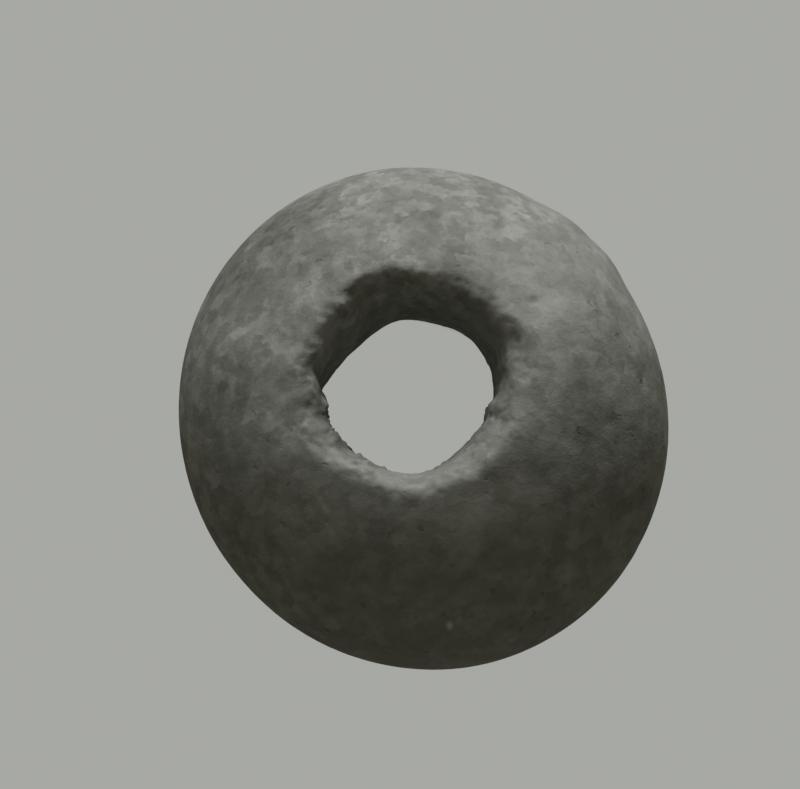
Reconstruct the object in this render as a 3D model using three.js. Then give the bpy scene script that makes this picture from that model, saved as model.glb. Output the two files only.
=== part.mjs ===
// Stone spindle whorl: one ground stone ring, flat below and domed above, with an hourglass hole
// for the spindle's shaft, drilled in from both faces.
// Millimetres, +Z up, the flat underside on z = 0, the origin under the middle of the whorl.

import * as THREE from 'three';

// Driving sizes of the ring, as if it had been turned true on a lathe.
const girthRadius = 18.1; // mean outer radius, at the widest level
const girthHeight = 3.4; // the widest level above the underside
const domeRise = 12.4; // from the widest level up to the apex that the dome has without its hole
const footInset = 2.6; // the flat underside ends this far inside the widest line
const mouthRadius = 7.5; // where the hole opens in the dome
const throatRadius = 6.0; // the narrowest part of the hole
const throatHeight = 8.0; // the level where the two drillings meet
const boreTop = 9.5; // the bore keeps its outline up to this level
const bevelFoot = 12.3; // the level where the flare of the mouth would meet the bore
const footMouthRadius = 8.0; // where the hole opens in the underside
const mouthWear = 1.0; // how far the worn rounding of the upper rim runs to each side
const footMouthWear = 0.5; // the same at the lower rim

// How the hand-ground stone departs from that true ring. Azimuths are in degrees from +X towards +Y.
const girthEllipse = { longHalf: 18.62, shortHalf: 17.63, towards: 110 };
const girthSwells = [
  { towards: 53, halfWidth: 9, height: 0.14 }, // two blunt corners between ground flats
  { towards: 40, halfWidth: 9, height: 0.14 },
  { towards: 46, halfWidth: 16, height: 0.12 },
  { towards: 68, halfWidth: 16, height: -0.1 },
  { towards: 25, halfWidth: 18, height: -0.06 },
];
const mouthSwells = [
  { towards: 0, halfWidth: 40, height: -0.4 },
  { towards: 176, halfWidth: 32, height: -0.45 },
  { towards: 120, halfWidth: 35, height: 0.65 },
  { towards: 90, halfWidth: 30, height: 0.15 },
  { towards: -150, halfWidth: 30, height: 0.6 },
  { towards: -90, halfWidth: 30, height: 0.1 },
  { towards: -60, halfWidth: 30, height: -0.15 },
  { towards: 171, halfWidth: 11, height: 0.4 }, // steps in the worn rim
  { towards: 133, halfWidth: 13, height: -0.45 },
  { towards: 101, halfWidth: 13, height: 0.2 },
  { towards: 25, halfWidth: 13, height: 0.35 },
  { towards: 55, halfWidth: 20, height: 0.12 },
];
const throatSwells = [
  { towards: 131, halfWidth: 46, height: -0.85 }, // the two flats of the drilling
  { towards: -46, halfWidth: 44, height: -0.55 },
  { towards: 86, halfWidth: 28, height: -0.1 },
  { towards: 50, halfWidth: 30, height: 0.28 },
  { towards: 18, halfWidth: 16, height: 0.12 },
  { towards: 175, halfWidth: 18, height: 0.45 },
  { towards: -160, halfWidth: 12, height: 0.2 },
  { towards: -90, halfWidth: 40, height: 0.15 },
  { towards: -14, halfWidth: 12, height: -0.32 }, // a crumb left standing on the throat's edge
  { towards: 179, halfWidth: 9, height: 0.3 }, // and notches in it
  { towards: -155, halfWidth: 14, height: 0.15 },
  { towards: -149, halfWidth: 6, height: 0.3 },
];

// The hole wanders off the ring's axis: its centre at the mouth, the throat and the underside.
const mouthCentre = { x: -0.65, y: 0.1 };
const throatCentre = { x: -0.95, y: 0.5 };
const footMouthCentre = { x: -0.8, y: 0.7 };

// Steps of the faceted solid.
const azimuthSteps = 72;

const point = (radius, height) => new THREE.Vector2(radius, height);

// The ring's closed section, radius against height, counterclockwise from the inner end of the underside.
function ringSection() {
  const domeAngle = (radius) => Math.acos(radius / girthRadius);
  const dome = (radius) => girthHeight + domeRise * Math.sin(domeAngle(radius));
  const rimOuter = mouthRadius + mouthWear;
  const mouthCorner = point(mouthRadius, dome(mouthRadius));
  const throat = point(throatRadius, throatHeight);
  const upperBend = point(throatRadius, bevelFoot);
  const lowerBend = point(throatRadius, throatHeight / 2);
  const footCorner = point(footMouthRadius, 0);

  // Points on the two funnels where their worn rims begin, on the way from each corner to its bend.
  const along = (from, to, distance) => from.clone().lerp(to, distance / from.distanceTo(to));
  const funnelTop = along(mouthCorner, upperBend, mouthWear);
  const funnelFoot = along(footCorner, lowerBend, footMouthWear);
  const footInner = point(footMouthRadius + footMouthWear, 0);
  const footOuter = point(girthRadius - footInset, 0);

  const stretches = [
    { curve: new THREE.LineCurve(footInner, footOuter), steps: 4 },
    {
      curve: new THREE.EllipseCurve(footOuter.x, girthHeight, footInset, girthHeight, -Math.PI / 2, 0),
      steps: 6,
    },
    {
      curve: new THREE.EllipseCurve(0, girthHeight, girthRadius, domeRise, 0, domeAngle(rimOuter)),
      steps: 12,
    },
    {
      curve: new THREE.QuadraticBezierCurve(point(rimOuter, dome(rimOuter)), mouthCorner, funnelTop),
      steps: 4,
    },
    { curve: new THREE.QuadraticBezierCurve(funnelTop, upperBend, throat), steps: 6 },
    { curve: new THREE.QuadraticBezierCurve(throat, lowerBend, funnelFoot), steps: 6 },
    { curve: new THREE.QuadraticBezierCurve(funnelFoot, footCorner, footInner), steps: 2 },
  ];
  const section = stretches.flatMap(({ curve, steps }) => curve.getPoints(steps).slice(0, -1));
  return [...section, section[0].clone()];
}

// Sum of rounded swells and hollows of an outline at one azimuth, in radians.
function swell(azimuth, swells) {
  return swells.reduce((sum, { towards, halfWidth, height }) => {
    const turn = azimuth - THREE.MathUtils.degToRad(towards);
    const away = Math.abs(Math.atan2(Math.sin(turn), Math.cos(turn)));
    const share = Math.min(1, away / THREE.MathUtils.degToRad(halfWidth));
    return sum + height * Math.cos((share * Math.PI) / 2) ** 2;
  }, 0);
}

// How far the real outline at the girth lies outside the true ring.
function girthOffset(azimuth) {
  const turn = azimuth - THREE.MathUtils.degToRad(girthEllipse.towards);
  const ellipse = 1 / Math.hypot(Math.cos(turn) / girthEllipse.longHalf, Math.sin(turn) / girthEllipse.shortHalf);
  return ellipse - girthRadius + swell(azimuth, girthSwells);
}

// Everything about the hole that changes with height: its centre, and how far its wall is off round.
function holeAt(azimuth, height) {
  const rimHeight = girthHeight + domeRise * Math.sqrt(1 - (mouthRadius / girthRadius) ** 2);
  const { lerp, clamp } = THREE.MathUtils;
  const upper = height >= throatHeight;
  const end = upper ? mouthCentre : footMouthCentre;
  const start = upper ? boreTop : throatHeight;
  const share = clamp((height - start) / ((upper ? rimHeight : 0) - start), 0, 1); // 1 at the mouth
  return {
    x: lerp(throatCentre.x, end.x, share),
    y: lerp(throatCentre.y, end.y, share),
    offset: lerp(swell(azimuth, throatSwells), swell(azimuth, mouthSwells), share),
  };
}

// Moves each point of the true ring to its place on the hand-made one. The hole's own
// irregularities fade out between the mouth and the girth, and the outline's fade in.
function makeByHand(geometry) {
  const places = geometry.attributes.position;
  for (let i = 0; i < places.count; i++) {
    const height = places.getZ(i);
    const radius = Math.hypot(places.getX(i), places.getY(i));
    const azimuth = Math.atan2(places.getY(i), places.getX(i));
    const outward = THREE.MathUtils.smoothstep(radius, mouthRadius, girthRadius);
    const hole = holeAt(azimuth, height);
    const made = radius + outward * girthOffset(azimuth) + (1 - outward) * hole.offset;
    places.setX(i, made * Math.cos(azimuth) + (1 - outward) * hole.x);
    places.setY(i, made * Math.sin(azimuth) + (1 - outward) * hole.y);
  }
  return geometry;
}

// Sets the geometry with the middle of its box over the origin.
function centred(geometry) {
  geometry.computeBoundingBox();
  const middle = geometry.boundingBox.getCenter(new THREE.Vector3());
  return geometry.translate(-middle.x, -middle.y, 0);
}

function makeWhorl() {
  const ring = new THREE.LatheGeometry(ringSection(), azimuthSteps).rotateX(Math.PI / 2);
  const geometry = centred(makeByHand(ring));
  geometry.computeVertexNormals();
  const stone = new THREE.MeshStandardMaterial({ color: 0x83857d, roughness: 0.82, metalness: 0 });
  const whorl = new THREE.Mesh(geometry, stone);
  whorl.name = 'whorl';
  return whorl;
}

const spindleWhorl = new THREE.Group();
spindleWhorl.add(makeWhorl());

export default spindleWhorl;
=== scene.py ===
# Stone spindle whorl: one ring ground from soft grey stone, domed above and flat below,
# with an hourglass hole pecked in from both faces. It lies flat on a pale glowing table.
import itertools
import math

import bpy
import numpy as np
from mathutils import Matrix, Quaternion, Vector


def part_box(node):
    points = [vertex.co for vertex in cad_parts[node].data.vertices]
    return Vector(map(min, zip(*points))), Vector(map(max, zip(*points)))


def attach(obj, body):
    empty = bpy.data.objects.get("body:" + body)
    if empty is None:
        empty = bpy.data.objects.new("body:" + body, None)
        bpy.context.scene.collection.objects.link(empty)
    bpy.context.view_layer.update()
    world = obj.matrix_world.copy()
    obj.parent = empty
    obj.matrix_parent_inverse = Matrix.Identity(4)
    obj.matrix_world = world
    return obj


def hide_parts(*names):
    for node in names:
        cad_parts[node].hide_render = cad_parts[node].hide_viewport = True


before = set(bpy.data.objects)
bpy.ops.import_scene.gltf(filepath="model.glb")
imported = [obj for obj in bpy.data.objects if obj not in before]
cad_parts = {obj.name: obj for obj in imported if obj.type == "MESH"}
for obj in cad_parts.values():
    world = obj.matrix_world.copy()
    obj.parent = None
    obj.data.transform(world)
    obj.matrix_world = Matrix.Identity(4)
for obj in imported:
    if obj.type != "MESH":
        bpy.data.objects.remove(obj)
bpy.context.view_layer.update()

mm = 0.001
latticePeriod = 64  # the random lattices repeat after this many cubes
# Each kind of random relief draws from its own seed.
seeds = {
    "dents": 11, "pecks": 21, "grain": 31, "chips": 41, "grooves": 51,
    "wall": 61, "rim": 71, "crumbs": 81, "marks": 91,
}
print("frame loaded")


# Gradient noise, about -1 to 1. Each corner of a lattice of cubes `size` wide has a random slope,
# and the eight slopes around a point are blended with the fade 6t^5 - 15t^4 + 10t^3.
def waves(points, size, seed):
    slopes = np.random.default_rng(seed).normal(size=(latticePeriod,) * 3 + (3,))
    slopes /= np.linalg.norm(slopes, axis=-1, keepdims=True)
    low = np.floor(points / size).astype(int)
    part = points / size - low
    fade = part**3 * (part * (part * 6 - 15) + 10)
    total = np.zeros(points.shape[:-1])
    for corner in itertools.product((0, 1), repeat=3):
        slope = slopes[tuple(np.moveaxis((low + corner) % latticePeriod, -1, 0))]
        share = np.prod(np.where(corner, fade, 1 - fade), axis=-1)
        total += share * np.sum(slope * (part - corner), axis=-1)
    return 1.6 * total


# The same noise summed over octaves, each half as wide and `fall` times as strong as the one before.
def fractal(points, size, seed, octaves=4, fall=0.5):
    layers = [fall**i * waves(points, size / 2**i, seed + i) for i in range(octaves)]
    return sum(layers) / sum(fall**i for i in range(octaves))


# Scattered spots: each cube of a lattice `size` wide holds one at a random place. Gives the distance
# to the nearest spot in cube widths, and that spot's own random number from 0 to 1.
def spots(points, size, seed):
    random = np.random.default_rng(seed)
    places = random.random((latticePeriod,) * 3 + (3,))
    numbers = random.random((latticePeriod,) * 3)
    low = np.floor(points / size).astype(int)
    part = points / size - low
    nearest = np.full(points.shape[:-1], np.inf)
    number = np.zeros(points.shape[:-1])
    for step in itertools.product((-1, 0, 1), repeat=3):
        cube = tuple(np.moveaxis((low + step) % latticePeriod, -1, 0))
        away = np.linalg.norm(places[cube] + step - part, axis=-1)
        number = np.where(away < nearest, numbers[cube], number)
        nearest = np.minimum(nearest, away)
    return nearest, number


# A smooth bowl, 1 at its middle and 0 from `radius` outwards: the square of 1 - (distance/radius)^2.
def bowl(distance, radius):
    return (1 - np.clip(distance / radius, 0, 1) ** 2) ** 2


# A smooth ramp from 0 at `start` to 1 at `end`: 3t^2 - 2t^3.
def ramp(value, start, end):
    t = np.clip((value - start) / (end - start), 0, 1)
    return t * t * (3 - 2 * t)


# The form of the whorl: sizes in mm, azimuths in degrees from +X towards +Y.
ring = {
    "girthRadius": 18.1,  # mean outer radius, at the widest level
    "girthHeight": 3.4,  # the widest level above the underside
    "domeRise": 12.4,  # from there to the apex that the dome has without its hole
    "footInset": 2.6,  # the flat underside ends this far inside the widest line
    "mouthRadius": 7.5,  # where the hole opens in the dome
    "throatRadius": 6.0,  # the narrowest part of the hole
    "throatHeight": 8.0,  # where the two drillings meet
    "boreTop": 9.5,  # the bore keeps its outline up to here
    "bevelFoot": 12.3,  # where the flare of the mouth would meet the bore
    "footMouthRadius": 8.0,  # where the hole opens in the underside
    "mouthWear": 1.0,  # how far the worn upper rim runs to each side
    "footMouthWear": 0.5,
    "mouthCentre": (-0.65, 0.1),  # the hole wanders off the ring's axis
    "throatCentre": (-0.95, 0.5),
    "footMouthCentre": (-0.8, 0.7),
    "longHalf": 18.62,  # the outline is an ellipse, longest towards longAzimuth
    "shortHalf": 17.63,
    "longAzimuth": 110,
    "azimuthSteps": 600,
    "sectionSteps": 166,
    "curveSteps": 200,  # samples of each stretch, before the section's points are spread
}
# Swells and hollows of the three outlines: azimuth, half width in degrees, height in mm.
girthSwells = [(53, 9, 0.14), (40, 9, 0.14), (46, 16, 0.12), (68, 16, -0.1), (25, 18, -0.06)]
mouthSwells = [
    (0, 40, -0.4), (176, 32, -0.45), (120, 35, 0.65), (90, 30, 0.15), (-150, 30, 0.6), (-90, 30, 0.1),
    (-60, 30, -0.15), (171, 11, 0.4), (133, 13, -0.45), (101, 13, 0.2), (25, 13, 0.35), (55, 20, 0.12),
]
throatSwells = [
    (131, 46, -0.85), (-46, 44, -0.55), (86, 28, -0.1), (50, 30, 0.28), (18, 16, 0.12), (175, 18, 0.45),
    (-160, 12, 0.2), (-90, 40, 0.15), (-14, 12, -0.32), (179, 9, 0.3), (-155, 14, 0.15), (-149, 6, 0.3),
]


# A straight line: (1 - t) a + t b.
def line(a, b, t):
    return np.outer(1 - t, a) + np.outer(t, b)


# Part of an ellipse: its middle plus half widths times the cosine and sine of the angle.
def ellipseArc(middle, halfX, halfY, start, end, t):
    angle = start + (end - start) * t
    return np.column_stack([middle[0] + halfX * np.cos(angle), middle[1] + halfY * np.sin(angle)])


# A quadratic curve: (1 - t)^2 a + 2t(1 - t) b + t^2 c.
def bend(a, b, c, t):
    return np.outer((1 - t) ** 2, a) + np.outer(2 * t * (1 - t), b) + np.outer(t**2, c)


# The point that lies `distance` from a on the way to b.
def along(a, b, distance):
    return a + (b - a) * distance / np.linalg.norm(b - a)


# Height of the dome at a radius: girth height plus rise times the root of 1 - (radius/girth)^2.
def domeHeight(r, radius):
    return r["girthHeight"] + r["domeRise"] * math.sqrt(1 - (radius / r["girthRadius"]) ** 2)


# The closed section, radius against height, from the inner end of the underside round the outside.
# Each stretch counts from its own whole number, so `place` 2.5 is half way up the dome. Points are
# spread along the section by length times the stretch's weight.
def ringSection(r):
    girth, rise = r["girthRadius"], r["girthHeight"]
    mouth = np.array([r["mouthRadius"], domeHeight(r, r["mouthRadius"])])
    throat = np.array([r["throatRadius"], r["throatHeight"]])
    upperBend = np.array([r["throatRadius"], r["bevelFoot"]])
    lowerBend = np.array([r["throatRadius"], r["throatHeight"] / 2])
    foot = np.array([r["footMouthRadius"], 0.0])
    rimRadius = mouth[0] + r["mouthWear"]
    rimOuter = np.array([rimRadius, domeHeight(r, rimRadius)])
    funnelTop = along(mouth, upperBend, r["mouthWear"])
    funnelFoot = along(foot, lowerBend, r["footMouthWear"])
    footInner = np.array([foot[0] + r["footMouthWear"], 0.0])
    footOuter = np.array([girth - r["footInset"], 0.0])
    t = np.linspace(0, 1, r["curveSteps"])
    domeEnd = math.acos(rimRadius / girth)
    stretches = [
        (0.35, line(footInner, footOuter, t)),  # the underside
        (0.6, ellipseArc((footOuter[0], rise), r["footInset"], rise, -math.pi / 2, 0, t)),  # the foot
        (1.0, ellipseArc((0, rise), girth, r["domeRise"], 0, domeEnd, t)),  # the dome
        (1.9, bend(rimOuter, mouth, funnelTop, t)),  # the worn mouth
        (1.5, bend(funnelTop, upperBend, throat, t)),  # the upper drilling
        (0.9, bend(throat, lowerBend, funnelFoot, t)),  # the lower drilling
        (1.0, bend(funnelFoot, foot, footInner, t)),  # its worn edge
    ]
    points = np.concatenate([p for _, p in stretches])
    place = np.concatenate([i + t for i in range(len(stretches))])
    weight = np.repeat([w for w, _ in stretches], len(t))
    step = np.linalg.norm(np.diff(points, axis=0), axis=1) * weight[1:]
    run = np.concatenate([[0], np.cumsum(step)])
    wanted = np.linspace(0, run[-1], r["sectionSteps"], endpoint=False)
    return [np.interp(wanted, run, column) for column in (points[:, 0], points[:, 1], place)]


# The angle between each azimuth, in radians, and one in degrees: the turn, brought to 0 to pi.
def turnFrom(azimuth, towards):
    turn = azimuth - math.radians(towards)
    return np.abs(np.arctan2(np.sin(turn), np.cos(turn)))


# Sum of swells at each azimuth: height times the squared cosine of a quarter turn's share.
def swell(azimuth, swells):
    total = np.zeros_like(azimuth)
    for towards, halfWidth, height in swells:
        share = np.clip(turnFrom(azimuth, towards) / math.radians(halfWidth), 0, 1)
        total += height * np.cos(share * math.pi / 2) ** 2
    return total


# The whole ring as a grid of azimuth by section. The outline's departure from a circle fades in from
# the mouth to the girth, and the hole's own departures and its wandering centre fade out.
def ringSurface(r):
    radius, height, place = ringSection(r)
    azimuth = np.linspace(-math.pi, math.pi, r["azimuthSteps"], endpoint=False)[:, None]
    turn = azimuth - math.radians(r["longAzimuth"])
    ellipse = 1 / np.hypot(np.cos(turn) / r["longHalf"], np.sin(turn) / r["shortHalf"])
    girthOffset = ellipse - r["girthRadius"] + swell(azimuth, girthSwells)
    rimHeight = domeHeight(r, r["mouthRadius"])
    upper = height >= r["throatHeight"]
    start = np.where(upper, r["boreTop"], r["throatHeight"])
    share = np.clip((height - start) / (np.where(upper, rimHeight, 0) - start), 0, 1)
    ends = np.where(upper[:, None], r["mouthCentre"], r["footMouthCentre"])
    centre = np.array(r["throatCentre"]) * (1 - share[:, None]) + ends * share[:, None]
    holeOffset = swell(azimuth, throatSwells) * (1 - share) + swell(azimuth, mouthSwells) * share
    outward = ramp(radius, r["mouthRadius"], r["girthRadius"])
    made = radius + outward * girthOffset + (1 - outward) * holeOffset
    x = made * np.cos(azimuth) + (1 - outward) * centre[:, 0]
    y = made * np.sin(azimuth) + (1 - outward) * centre[:, 1]
    z = np.broadcast_to(height, x.shape)
    return np.stack([x, y, z], axis=-1), azimuth, np.broadcast_to(place, x.shape)


# Outward unit normals of a grid that is closed both ways, from the differences across each point.
def gridNormals(points):
    alongRing = np.roll(points, -1, axis=0) - np.roll(points, 1, axis=0)
    alongSection = np.roll(points, -1, axis=1) - np.roll(points, 1, axis=1)
    normals = np.cross(alongRing, alongSection)
    return normals / np.linalg.norm(normals, axis=-1, keepdims=True)


# How the stone was worked and worn: sizes in mm.
relief = {
    "dentWidth": 7.0, "dentDepth": 0.04,  # uneven grinding of the dome
    "peckWidth": 1.3, "peckDepth": 0.018,  # shallow pecks that the grinding left
    "peckRadius": 0.3, "peckSpread": 0.35, "peckMissing": 0.25,  # in cube widths; share left out
    "grainWidth": 0.7, "grainDepth": 0.01,  # matt weathered skin
    "wallWidth": 1.7, "wallDepth": 0.075,  # coarse pecking of the funnel
    "chipWidth": 0.8, "chipDepth": 0.05,  # small chips in the funnel
    "chipRadius": 0.35, "chipSpread": 0.35, "chipMissing": 0.3,
    "grooveStep": 0.9, "grooveDepth": 0.02,  # rings that the drilling left
    "grooveWander": 0.5, "grooveWidth": 3.0,  # share of a step that they wander by, and over what
    "rimWidth": 2.6, "rimDepth": 0.42, "rimMost": 0.15, "rimFall": 0.6,  # bitten edge of the mouth
    "crumbWidth": 0.75, "crumbHeight": 0.3, "crumbRadius": 0.6,  # crumbs left round the throat
    "crumbAzimuth": 224, "crumbSpread": 36, "crumbCore": 0.6,  # where they are thickest
    "crumbsAround": 0.15, "crumbsNear": 0.3, "crumbsThick": 0.55,
    "nearSide": (-0.1, 0.3),  # the share of the way to -Y over which the near side begins
    "markEdge": 0.35, "markEdgeWidth": 0.9,  # how ragged the marks' outlines are
    "underPlainer": 0.75,  # how much of the skin's relief the hidden underside lacks
    "raisedSkin": 0.05, "raisedWall": 0.2,  # heights that count as fully raised
    "vivid": 0.92,  # strength of the flakes where nothing makes them plainer
}
# Where along the section each kind of work fades in and out, as places of ringSection.
fades = {
    "dome": ((1.3, 2.1), (3.3, 3.7)),
    "wall": ((3.2, 3.9), (6.0, 6.9)),
    "throat": ((3.5, 4.0), (5.1, 5.6)),
    "seen": ((0.9, 1.4), (6.5, 7.0)),
    "worn": ((2.7, 3.0), (3.5, 4.1)),
}
# Where along the section each ridge or hollow has its middle, and its width.
ridges = {"rim": (3.5, 0.45), "bevel": (3.55, 0.55), "ledge": (4.3, 0.3), "throatEdge": (5.0, 0.45)}
# Where the mouth is worn most: azimuth, half width in degrees, depth in mm.
bevels = [
    (5, 45, 0.15), (19, 12, 0.2), (172, 40, 0.12), (118, 48, -0.1), (129, 12, -0.2), (75, 40, -0.1),
    (-92, 35, 0.08),
]
# Where the stone stands out just below the mouth, so that the bore under it is hidden.
ledges = [
    (-154, 20, 0.44), (-166, 9, 0.24), (-145, 9, 0.22), (-133, 7, -0.15), (-120, 10, 0.2),
    (-15, 10, 0.35), (-28, 20, 0.32), (-38, 15, 0.18), (-45, 14, 0.05), (-90, 40, 0.1), (4, 9, -0.15),
]
# Where the throat itself is chipped wider or left narrower.
throatChips = [(163, 13, -0.15), (138, 22, -0.07), (70, 14, 0.1)]
# Where the stone is plainer than elsewhere: azimuth, half width in degrees, by how much.
plain = [(-80, 130, 0.42), (42, 38, 0.38)]
# Marks on the dome: azimuth, distance from the axis, radius, depth, and how much paler the spot is,
# darker below zero. The palest, a chip on the shaded side, is partly pale chipped stone, partly painted
# light.
marks = [
    (-83.5, 16.5, 0.4, 0.10, 1.0),
    (-52, 16.2, 1.1, 0.02, 0.16),
    (66, 13.2, 0.7, 0.10, -0.15),
    (38, 9.9, 0.55, 0.12, -0.27),
    (-128, 11.0, 0.5, 0.03, 0.22),
]
# Broad paler and darker patches of the dome, partly the stone's uneven tone and partly painted
# light and painted shade: azimuth, distance from the axis, radius, strength.
tintsAndPaintedLight = [
    (45, 12.0, 7.0, 0.32), (30, 10.0, 3.0, 0.18), (12, 9.2, 2.4, 0.3), (0, 7.0, 1.2, 0.15),
    (27, 9.6, 1.4, 0.12), (61, 16.6, 3.5, 0.2), (10, 17.4, 3.0, -0.22), (93, 10.4, 2.0, 0.06),
    (104, 12.5, 3.0, 0.08), (75, 9.0, 2.0, -0.44), (55, 8.6, 1.6, -0.24), (66, 12.3, 2.0, -0.12),
    (89, 9.3, 1.4, -0.16), (113, 9.8, 1.2, -0.12), (90, 12.4, 1.6, -0.2), (92, 15.0, 4.5, -0.14),
    (119, 11.6, 2.0, -0.2), (126, 16.8, 5.0, -0.5), (140, 17.4, 3.5, -0.2), (134, 13.4, 2.2, -0.2),
    (150, 17.5, 4.5, -0.3), (164, 13.6, 3.6, 0.12), (173, 11.4, 2.2, 0.32), (-169, 8.6, 1.6, -0.26),
    (-171, 11.3, 2.0, -0.1), (-153, 12.5, 2.0, 0.14), (-4, 12.5, 5.5, -0.16), (-14, 11.5, 4.5, -0.17),
    (-150, 9.8, 2.3, 0.22), (138, 9.6, 2.0, 0.16), (153, 9.8, 2.8, 0.28), (103, 10.2, 1.8, 0.26),
    (-72, 9.8, 3.2, 0.4), (-58, 6.8, 1.4, -0.12), (-50, 11.2, 3.8, 0.18), (-130, 11.0, 4.0, 0.2),
    (-95, 10.5, 3.2, 0.1), (-90, 7.6, 1.2, 0.1), (-144, 7.4, 0.6, -0.2), (-175, 7.4, 1.0, 0.18),
    (17, 6.9, 1.3, -0.35), (26, 8.5, 1.1, 0.25), (115, 9.0, 1.1, -0.2), (85, 8.5, 1.3, -0.2),
    (56, 7.7, 1.2, -0.24), (112, 15.6, 2.0, 0.15), (37, 15.8, 2.2, 0.18), (-22, 7.0, 1.2, 0.22),
    (-41, 6.6, 1.0, -0.18),
]


# 1 between the two fades and 0 outside them: one ramp times 1 - the other.
def span(place, fade):
    begins, ends = fade
    return ramp(place, *begins) * (1 - ramp(place, *ends))


# A rounded ridge across the section: exp(-((place - middle) / width)^2).
def ridge(place, shape):
    middle, width = shape
    return np.exp(-(((place - middle) / width) ** 2))


# Distance in plan from the spot at an azimuth and a distance from the axis.
def gapFrom(points, towards, distance):
    middle = distance * np.array([math.cos(math.radians(towards)), math.sin(math.radians(towards))])
    return np.hypot(points[..., 0] - middle[0], points[..., 1] - middle[1])


# The weathered skin: fine noise times its depth, less round bowls of random size for the pecks.
def skinRelief(points, r):
    away, number = spots(points, r["peckWidth"], seeds["pecks"])
    pecks = bowl(away, r["peckRadius"] + r["peckSpread"] * number) * (number > r["peckMissing"])
    grain = fractal(points, r["grainWidth"], seeds["grain"], 3)
    return grain * r["grainDepth"] - pecks * r["peckDepth"]


# The pecked wall: coarse noise, less bowls for the chips, plus a sine of the height for the grooves.
def wallRelief(points, r):
    away, number = spots(points, r["chipWidth"], seeds["chips"])
    chips = bowl(away, r["chipRadius"] + r["chipSpread"] * number) * (number > r["chipMissing"])
    wander = r["grooveWander"] * waves(points, r["grooveWidth"], seeds["grooves"])
    grooves = np.sin(2 * math.pi * (points[..., 2] / r["grooveStep"] + wander))
    coarse = fractal(points, r["wallWidth"], seeds["wall"], 3)
    return coarse * r["wallDepth"] - chips * r["chipDepth"] + grooves * r["grooveDepth"]


# Crumbs round the throat: bowls of random height, a few all round, more towards -Y and most near
# crumbAzimuth.
def crumbRelief(points, azimuth, r):
    away, number = spots(points, r["crumbWidth"], seeds["crumbs"])
    spread = math.radians(r["crumbSpread"])
    thick = 1 - ramp(turnFrom(azimuth, r["crumbAzimuth"]), r["crumbCore"] * spread, spread)
    near = ramp(-np.sin(azimuth), *r["nearSide"])
    here = r["crumbsAround"] + r["crumbsNear"] * near + r["crumbsThick"] * thick
    return bowl(away, r["crumbRadius"]) * number * r["crumbHeight"] * here


# Adds the worked relief to the grid along its normals. Returns the points and the masks that the
# finish reads: `raised`, the height of the fine relief from -1 to 1; `markTone`, paler and darker marks,
# the palest partly painted light; `worn`, the mouth's rounding; `tintAndPaintedLight`, broad paler and
# darker patches, partly the stone's tone and partly painted light and shade; `vivid`, how strong the flakes
# are.
def workSurface(points, azimuth, place, r):
    dome, wall, seen = [span(place, fades[name]) for name in ("dome", "wall", "seen")]
    skin = skinRelief(points, r) * (1 - wall)
    rough = wallRelief(points, r) * wall
    dents = waves(points, r["dentWidth"], seeds["dents"]) * r["dentDepth"] * dome
    bites = np.minimum(fractal(points, r["rimWidth"], seeds["rim"], 3, r["rimFall"]), r["rimMost"])
    bites = bites * r["rimDepth"] * ridge(place, ridges["rim"])
    bevel = ridge(place, ridges["bevel"]) * swell(azimuth, bevels)
    crumbs = crumbRelief(points, azimuth, r) * span(place, fades["throat"])
    ledge = ridge(place, ridges["ledge"]) * swell(azimuth, ledges)
    ledge += ridge(place, ridges["throatEdge"]) * swell(azimuth, throatChips)

    # The marks: dents, paler or darker; the palest chip's paleness is partly painted light.
    markTone = np.zeros(place.shape)
    holes = np.zeros(place.shape)
    ragged = 1 + r["markEdge"] * waves(points, r["markEdgeWidth"], seeds["marks"])
    for towards, distance, width, depth, pale in marks:
        spot = bowl(gapFrom(points, towards, distance) * ragged, width) * dome
        holes += depth * spot
        markTone += pale * spot
    # Broad patches, partly the stone's uneven tone and partly painted light and painted shade.
    tintAndPaintedLight = np.zeros(place.shape)
    for towards, distance, width, strength in tintsAndPaintedLight:
        tintAndPaintedLight += strength * bowl(gapFrom(points, towards, distance), width)

    skinShare = 1 - r["underPlainer"] * (1 - seen)
    shift = dents + skin * skinShare + rough + bites + crumbs + ledge - holes - bevel
    masks = {
        "raised": np.clip(skin / r["raisedSkin"] + rough / r["raisedWall"], -1, 1),
        "markTone": np.clip(markTone, -1, 1),
        "worn": span(place, fades["worn"]),
        "tintAndPaintedLight": tintAndPaintedLight,
        "vivid": np.broadcast_to(r["vivid"] - swell(azimuth, plain), place.shape),
    }
    return points + gridNormals(points) * shift[..., None], masks


# Stretches the grid evenly so that its box is the CAD piece's own, in metres: the share of the way
# from the grid's least to its most corner becomes the same share from `low` to `high`.
def fitToBox(points, low, high):
    least, most = points.min(axis=(0, 1)), points.max(axis=(0, 1))
    low, high = np.array(low), np.array(high)
    return low + (points - least) * (high - low) / (most - least)


# Makes a mesh object from a grid closed both ways, with each mask as a point attribute. Each quad
# joins a grid point to its next neighbours round the ring and along the section.
def gridObject(name, points, masks):
    around, across = points.shape[:2]
    index = np.arange(around * across).reshape(around, across)
    right, up = np.roll(index, -1, axis=0), np.roll(index, -1, axis=1)
    quads = np.stack([index, right, np.roll(right, -1, axis=1), up], axis=-1).reshape(-1, 4)
    mesh = bpy.data.meshes.new(name)
    mesh.from_pydata(points.reshape(-1, 3), [], quads)
    mesh.polygons.foreach_set("use_smooth", np.ones(len(quads), bool))
    for mask, values in masks.items():
        attribute = mesh.attributes.new(mask, "FLOAT", "POINT")
        attribute.data.foreach_set("value", values.astype(np.float32).ravel())
    mesh.update()
    piece = bpy.data.objects.new(name, mesh)
    bpy.context.scene.collection.objects.link(piece)
    return piece


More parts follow.
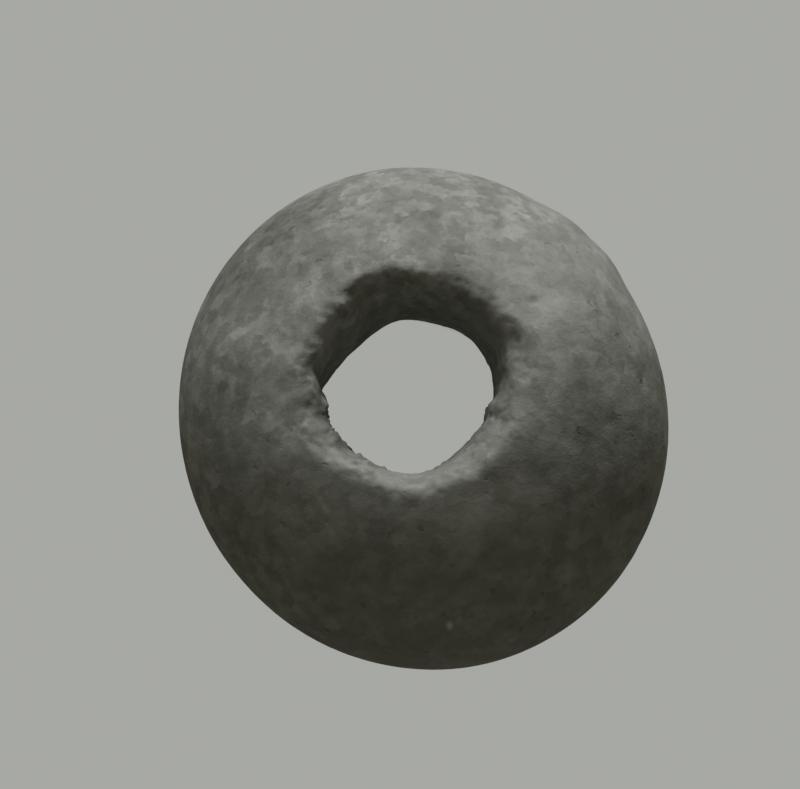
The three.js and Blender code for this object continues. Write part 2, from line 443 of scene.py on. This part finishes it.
points, azimuth, place = ringSurface(ring)
points, masks = workSurface(points, azimuth, place, relief)
points = fitToBox(points, *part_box("whorl"))
whorl = gridObject("spindleWhorl", points, masks)
print("whorl made:", len(whorl.data.polygons) * 2, "triangles")


# sRGB hex to linear: p / 12.92 up to 0.04045, else ((p + 0.055) / 1.055)^2.4.
def toLinear(hexColour):
    parts = [int(hexColour[i : i + 2], 16) / 255 for i in (1, 3, 5)]
    return [p / 12.92 if p <= 0.04045 else ((p + 0.055) / 1.055) ** 2.4 for p in parts] + [1.0]


# Adds a node: `inputs` are plain values or sockets to wire in, `settings` the node's own properties.
def addNode(tree, kind, inputs, **settings):
    node = tree.nodes.new("ShaderNode" + kind)
    for name, value in settings.items():
        setattr(node, name, value)
    for name, value in inputs.items():
        if isinstance(value, bpy.types.NodeSocket):
            tree.links.new(value, node.inputs[name])
        else:
            node.inputs[name].default_value = value
    return node


# Adds up patterns: the start plus each value times its weight.
def addUp(tree, start, terms):
    total = start
    for value, weight in terms:
        term = addNode(tree, "Math", {0: value, 1: weight, 2: total}, operation="MULTIPLY_ADD")
        total = term.outputs["Value"]
    return total


# Soapstone, pecked and ground, weathered matt. It gives the eye a dull olive grey with angular paler
# and darker flakes about a millimetre wide, fine dark pores and a dry, powdery skin.
stone = {
    # The palest colour, for chipped stone, is partly painted light.
    "dark": "#55564f", "middle": "#868782", "light": "#b4b6b1", "brokenAndLit": "#e2e2dc",
    "wholeStone": 0.7,  # the share of the colour scale that unbroken stone uses
    "iron": "#fcf6e0", "ironWidth": 1.4,  # faintly rusty flakes, mm
    "ironFrom": 0.7, "ironMost": 0.2,  # which flakes rust, and how much
    "flakeWidth": 1.15, "flakeShare": 0.36,  # mm, mineral patches, and their weight in the tone
    "smallFlakeWidth": 0.55, "smallFlakeShare": 0.2,
    "flakeSoftness": 0.35,
    "bendsPerMm": 1.7, "bendBy": 1.3,  # how the flakes' edges are bent, mm
    "cloudWidth": 6.0, "cloudShare": 0.5,  # mm, uneven weathering
    "mottleWidth": 1.3, "mottleShare": 0.5,
    "fineness": 0.6,  # how strongly each noise keeps its finer octaves
    "grainWidth": 0.22, "grainShare": 0.1,  # mm; real grit is finer, drawn coarser so that it shows
    "poreSpacing": 1.7, "poreShare": 0.22,  # mm between dark pores
    "poreInner": 0.06, "poreOuter": 0.14,  # their radii, in shares of the spacing
    "raisedShare": 0.07, "markToneShare": 0.9, "wornShare": 0.09, "tintAndPaintedLightShare": 0.7,
    "roughness": 0.86, "roughnessSpread": 0.08,
    "ior": 1.54,  # talc and chlorite
    "bumpDepth": 0.03, "skinWidth": 0.45,  # mm, the powdery skin
    "bumpGrain": 0.6, "bumpSkin": 1.0, "bumpPores": 0.8,
}


# The finish: colour from the tone, roughness from the grain, bump from the grain, skin and pores.
def makeStone(s):
    material = bpy.data.materials.new("weathered soapstone")
    material.use_nodes = True
    tree = material.node_tree
    shader = tree.nodes["Principled BSDF"]
    place = addNode(tree, "TexCoord", {}).outputs["Object"]
    inMm = addNode(tree, "Mapping", {"Vector": place, "Scale": (1000, 1000, 1000)}).outputs["Vector"]
    shape = {"Vector": inMm, "Scale": s["bendsPerMm"], "Detail": 5, "Roughness": s["fineness"]}
    drift = addNode(tree, "TexNoise", shape).outputs["Color"]
    shape = {0: drift, 1: (s["bendBy"],) * 3, 2: inMm}
    bent = addNode(tree, "VectorMath", shape, operation="MULTIPLY_ADD").outputs["Vector"]

    flakes = []
    for width in (s["flakeWidth"], s["smallFlakeWidth"]):
        shape = {"Vector": bent, "Scale": 1 / width, "Smoothness": s["flakeSoftness"]}
        cells = addNode(tree, "TexVoronoi", shape, feature="SMOOTH_F1").outputs["Color"]
        flakes.append(addNode(tree, "SeparateColor", {"Color": cells}).outputs["Red"])
    noises = []
    for name, detail in (("cloudWidth", 2), ("mottleWidth", 3), ("grainWidth", 2), ("skinWidth", 4)):
        shape = {"Vector": inMm, "Scale": 1 / s[name], "Detail": detail, "Roughness": s["fineness"]}
        noises.append(addNode(tree, "TexNoise", shape).outputs["Fac"])
    cloud, mottle, grain, skin = noises
    pores = addNode(tree, "TexVoronoi", {"Vector": bent, "Scale": 1 / s["poreSpacing"]}).outputs["Distance"]
    edge = {"From Min": s["poreInner"], "From Max": s["poreOuter"], "To Min": 1, "To Max": 0}
    pores = addNode(tree, "MapRange", {"Value": pores, **edge}).outputs["Result"]

    # The tone is a half, plus the patterns about their own middle, plus the masks, less the pores.
    patterns = [
        (flakes[0], s["flakeShare"]),
        (flakes[1], s["smallFlakeShare"]),
        (cloud, s["cloudShare"]),
        (mottle, s["mottleShare"]),
        (grain, s["grainShare"]),
    ]
    vivid, raised, markTone, worn, tintAndPaintedLight = [
        addNode(tree, "Attribute", {}, attribute_name=name).outputs["Fac"]
        for name in ("vivid", "raised", "markTone", "worn", "tintAndPaintedLight")
    ]
    pattern = addUp(tree, -0.5 * sum(weight for _, weight in patterns), patterns)
    tone = addUp(tree, 0.5, [
        (pattern, vivid),
        (raised, s["raisedShare"]),
        (markTone, s["markToneShare"]),
        (worn, s["wornShare"]),
        # The broad patches add painted light and painted shade as well as the stone's tone.
        (tintAndPaintedLight, s["tintAndPaintedLightShare"]),
        (pores, -s["poreShare"]),
    ])
    scaled = addNode(tree, "Math", {0: tone, 1: s["wholeStone"]}, operation="MULTIPLY").outputs["Value"]
    colours = addNode(tree, "ValToRGB", {"Fac": scaled})
    ramps = colours.color_ramp.elements
    ramps[0].color = toLinear(s["dark"])
    ramps[1].color = toLinear(s["brokenAndLit"])
    ramps.new(0.5 * s["wholeStone"]).color = toLinear(s["middle"])
    ramps.new(s["wholeStone"]).color = toLinear(s["light"])

    iron = addNode(tree, "TexVoronoi", {"Vector": bent, "Scale": 1 / s["ironWidth"]}).outputs["Color"]
    iron = addNode(tree, "SeparateColor", {"Color": iron}).outputs["Green"]
    rust = {"Value": iron, "From Min": s["ironFrom"], "From Max": 1, "To Max": s["ironMost"]}
    iron = addNode(tree, "MapRange", rust)
    # Inputs 0, 6 and 7 of a colour Mix are its factor and its two colours, and output 2 is the result.
    blend = {0: iron.outputs["Result"], 6: colours.outputs["Color"], 7: toLinear(s["iron"])}
    stained = addNode(tree, "Mix", blend, data_type="RGBA", blend_type="MULTIPLY")
    tree.links.new(stained.outputs[2], shader.inputs["Base Color"])

    least, most = s["roughness"] - s["roughnessSpread"], s["roughness"] + s["roughnessSpread"]
    dull = addNode(tree, "MapRange", {"Value": grain, "To Min": least, "To Max": most})
    tree.links.new(dull.outputs["Result"], shader.inputs["Roughness"])
    shader.inputs["IOR"].default_value = s["ior"]

    height = addUp(tree, 0.0, [(grain, s["bumpGrain"]), (skin, s["bumpSkin"]), (pores, -s["bumpPores"])])
    bump = addNode(tree, "Bump", {"Height": height, "Strength": 1, "Distance": s["bumpDepth"] * mm})
    tree.links.new(bump.outputs["Normal"], shader.inputs["Normal"])
    return material


whorl.data.materials.append(makeStone(stone))
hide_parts("whorl")
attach(whorl, "root")
print("stone finished")


# The table that it lies on is opal glass lit from within: a flat, even, pale grey that darkens only
# right under the stone.
table = {
    "halfWidth": 3.0,  # m
    "glow": 0.402, "glowColour": "#fbfdf7",
    "paint": "#0c0c0b", "roughness": 0.9,
    "contactShade": 0.8,  # mm from the stone
}


# One flat square, four corners at plus and minus the half width. Its glow is the glow's strength times
# how open the place is to its surroundings.
def makeTable(t):
    mesh = bpy.data.meshes.new("table")
    half = t["halfWidth"]
    corners = [(-half, -half, 0), (half, -half, 0), (half, half, 0), (-half, half, 0)]
    mesh.from_pydata(corners, [], [(0, 1, 2, 3)])
    piece = bpy.data.objects.new("table", mesh)
    bpy.context.scene.collection.objects.link(piece)
    material = bpy.data.materials.new("opal glass")
    material.use_nodes = True
    tree = material.node_tree
    shader = tree.nodes["Principled BSDF"]
    shade = addNode(tree, "AmbientOcclusion", {"Distance": t["contactShade"] * mm}, samples=16)
    shader.inputs["Base Color"].default_value = toLinear(t["paint"])
    shader.inputs["Roughness"].default_value = t["roughness"]
    shader.inputs["Specular IOR Level"].default_value = 0.0
    shader.inputs["Emission Color"].default_value = toLinear(t["glowColour"])
    glow = addNode(tree, "Math", {0: shade.outputs["AO"], 1: t["glow"]}, operation="MULTIPLY")
    tree.links.new(glow.outputs["Value"], shader.inputs["Emission Strength"])
    mesh.materials.append(material)
    piece.visible_diffuse = False
    piece.visible_glossy = False
    return piece


makeTable(table)

# One wide, low, tilted softbox behind the stone, a weak sky, and a backdrop that only the camera sees.
lights = {
    "azimuth": 83.6, "elevation": 15, "roll": 45, "distance": 0.6,  # degrees, m
    "width": 0.73, "height": 0.12, "power": 4.8,  # m, W
    "sky": 0.115, "skyColour": "#fffde4",
    "backdrop": 0.397, "backdropColour": "#fbfdf7",
}


# The softbox stands at its distance in the direction (cos a cos e, sin a cos e, sin e), faces the stone
# and is rolled about that direction.
def makeLights(l):
    data = bpy.data.lights.new("key", "AREA")
    data.shape, data.size, data.size_y, data.energy = "RECTANGLE", l["width"], l["height"], l["power"]
    key = bpy.data.objects.new("key", data)
    a, e = math.radians(l["azimuth"]), math.radians(l["elevation"])
    towards = Vector((math.cos(a) * math.cos(e), math.sin(a) * math.cos(e), math.sin(e)))
    key.location = towards * l["distance"]
    key.visible_camera = False
    turned = towards.to_track_quat("Z", "Y") @ Quaternion((0, 0, 1), math.radians(l["roll"]))
    key.rotation_euler = turned.to_euler()
    bpy.context.scene.collection.objects.link(key)

    world = bpy.data.worlds.new("studio")
    bpy.context.scene.world = world
    world.use_nodes = True
    tree = world.node_tree
    sky = tree.nodes["Background"]
    sky.inputs["Color"].default_value = toLinear(l["skyColour"])
    sky.inputs["Strength"].default_value = l["sky"]
    plainGrey = {"Color": toLinear(l["backdropColour"]), "Strength": l["backdrop"]}
    backdrop = addNode(tree, "Background", plainGrey)
    seen = addNode(tree, "LightPath", {}).outputs["Is Camera Ray"]
    both = addNode(tree, "MixShader", {0: seen, 1: sky.outputs[0], 2: backdrop.outputs[0]})
    tree.links.new(both.outputs[0], tree.nodes["World Output"].inputs["Surface"])


makeLights(lights)
bpy.context.scene.view_settings.view_transform = "Standard"
print("table and lights set")

# The camera looks down from the -Y side, a little off straight down.
view = {
    "lens": 180, "sensor": 36,  # mm
    "tilt": 13, "distance": 290,  # degrees from straight down, mm
    "aimRight": -1.70, "aimUp": 1.60,  # mm, in the picture's plane, from the middle of the girth
    "nearest": 0.01, "farthest": 10,  # m
}


# The camera stands `distance` from the middle of the girth in the direction (0, -sin tilt, cos tilt),
# and looks at the aim, which is off that middle by so much to the right and up.
def makeCamera(v):
    data = bpy.data.cameras.new("camera")
    data.lens, data.sensor_width = v["lens"], v["sensor"]
    camera = bpy.data.objects.new("camera", data)
    t = math.radians(v["tilt"])
    back = Vector((0, -math.sin(t), math.cos(t)))
    up = Vector((0, math.cos(t), math.sin(t)))
    right = Vector((1, 0, 0))
    middle = Vector((0, 0, ring["girthHeight"] * mm))
    aim = middle + right * v["aimRight"] * mm + up * v["aimUp"] * mm
    place = middle + back * v["distance"] * mm
    back = (place - aim).normalized()
    right = up.cross(back).normalized()
    turned = Matrix((right, back.cross(right), back)).transposed()
    camera.matrix_world = Matrix.Translation(place) @ turned.to_4x4()
    data.clip_start, data.clip_end = v["nearest"], v["farthest"]
    bpy.context.scene.collection.objects.link(camera)
    bpy.context.scene.camera = camera


makeCamera(view)
